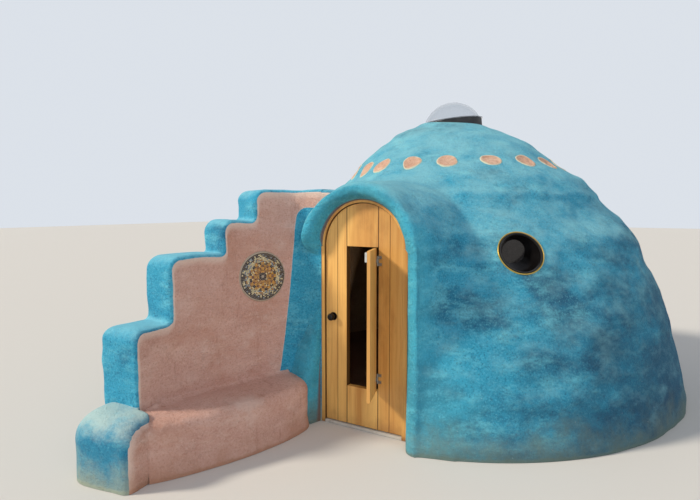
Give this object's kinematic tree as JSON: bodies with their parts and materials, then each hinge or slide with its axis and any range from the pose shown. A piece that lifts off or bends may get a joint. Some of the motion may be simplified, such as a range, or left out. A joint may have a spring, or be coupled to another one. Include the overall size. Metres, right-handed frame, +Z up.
{
  "type": "small domed adobe house",
  "caption": "Small domed earth house with an arched plank door, a shutter in the door, a stepped wing wall with a bench, a porthole and a bubble skylight.",
  "frame": {"origin": "on the ground at the middle of the dome, on the underside of the earthen floor", "axes": "+Z up, door towards -Y, wing wall and bench towards -X and -Y"},
  "size_m": [4.44, 5.8127, 2.8542],
  "materials": {
    "turquoise_plaster": "hand-trowelled painted earth plaster",
    "pink_plaster": "hand-trowelled tinted earth plaster",
    "earthen_floor": "beaten and oiled earth",
    "clay_disc": "matt plaster with a pale edge",
    "black_curb": "matt black",
    "clear_acrylic": "clear",
    "dark_tube": "dark matt paint",
    "brass_rim": "worn satin",
    "threshold": "worn concrete",
    "pine": "oiled pine with open grain",
    "dark_iron": "dark oiled",
    "black_metal": "satin black",
    "grey_steel": "zinc grey",
    "white_latch": "pale grey paint",
    "mosaic_amber": "glazed tile pieces in pale grout",
    "mosaic_dark": "dark glazed tile pieces in pale grout"
  },
  "bodies": {
    "house": {"earthen_floor": "earthen_floor", "wall_door_left": "turquoise_plaster", "wall_door_right": "turquoise_plaster", "wall_over_door": "turquoise_plaster", "wall_porthole": "turquoise_plaster", "wall_right": "turquoise_plaster", "wall_back_right": "turquoise_plaster", "wall_back_left": "turquoise_plaster", "wall_left": "turquoise_plaster", "wall_front_left": "turquoise_plaster", "cap_front": "turquoise_plaster", "cap_right": "turquoise_plaster", "cap_back": "turquoise_plaster", "cap_left": "turquoise_plaster", "roof_discs": "clay_disc", "skylight_curb": "black_curb", "skylight_flange": "clear_acrylic", "skylight_bubble": "clear_acrylic", "porthole_tube": "dark_tube", "porthole_rim": "brass_rim", "porthole_glass": "clear_acrylic", "entry_pier_left": "turquoise_plaster", "entry_pier_right": "turquoise_plaster", "entry_hood": "turquoise_plaster", "threshold": "threshold", "frame_post_left": "pine", "frame_post_right": "pine", "frame_head": "pine", "frame_hinges": "dark_iron", "wing_step_1": "pink_plaster", "wing_step_2": "pink_plaster", "wing_step_3": "pink_plaster", "wing_step_4": "pink_plaster", "wing_end_pillar": "turquoise_plaster", "bench": "pink_plaster", "medallion_field": "mosaic_amber", "medallion_rim": "mosaic_dark"},
    "door": {"door_boards": "pine", "door_ledges": "pine", "door_knobs": "black_metal", "door_hinges": "dark_iron", "shutter_hinge_leaves": "grey_steel"},
    "shutter": {"hatch_shutter": "pine", "hatch_hinges": "grey_steel", "hatch_latch": "white_latch"}
  },
  "joints": [
    {"name": "door_swing", "type": "hinge", "parent": "house", "child": "door", "pos_m": [0.3395, -1.9065, 0], "axis": [0, 0, -1], "range_deg": [0, 90]},
    {"name": "shutter_swing", "type": "hinge", "parent": "door", "child": "shutter", "pos_m": [0.1305, -1.9645, 0], "axis": [0, 0, 1], "range_deg": [-108, 42]}
  ]
}
